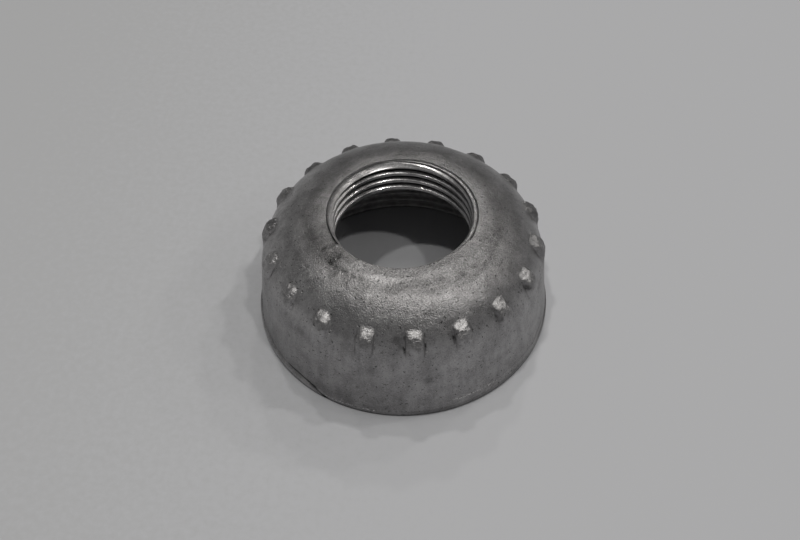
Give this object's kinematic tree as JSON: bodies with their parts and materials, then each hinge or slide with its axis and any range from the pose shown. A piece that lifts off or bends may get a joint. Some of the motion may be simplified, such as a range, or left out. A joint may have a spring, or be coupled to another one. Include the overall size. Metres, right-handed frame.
{
  "type": "carburetor cap nut",
  "caption": "Round cast cap nut with a domed shoulder, a ring of short grip ribs, a threaded skirt and a tapped hole through its top.",
  "frame": {"origin": "centre of the flat foot that the nut stands on", "axes": "+Z along the axis of both threads, out of the tapped hole in the top; +X through the middle of one grip rib"},
  "size_m": [0.046, 0.046, 0.0198],
  "materials": {
    "cast_aluminium": "aged as-cast surface, dull grey with fine grain, worn bright on the ribs and in the thread"
  },
  "bodies": {
    "root": {"cap_nut": "cast_aluminium"}
  },
  "joints": []
}
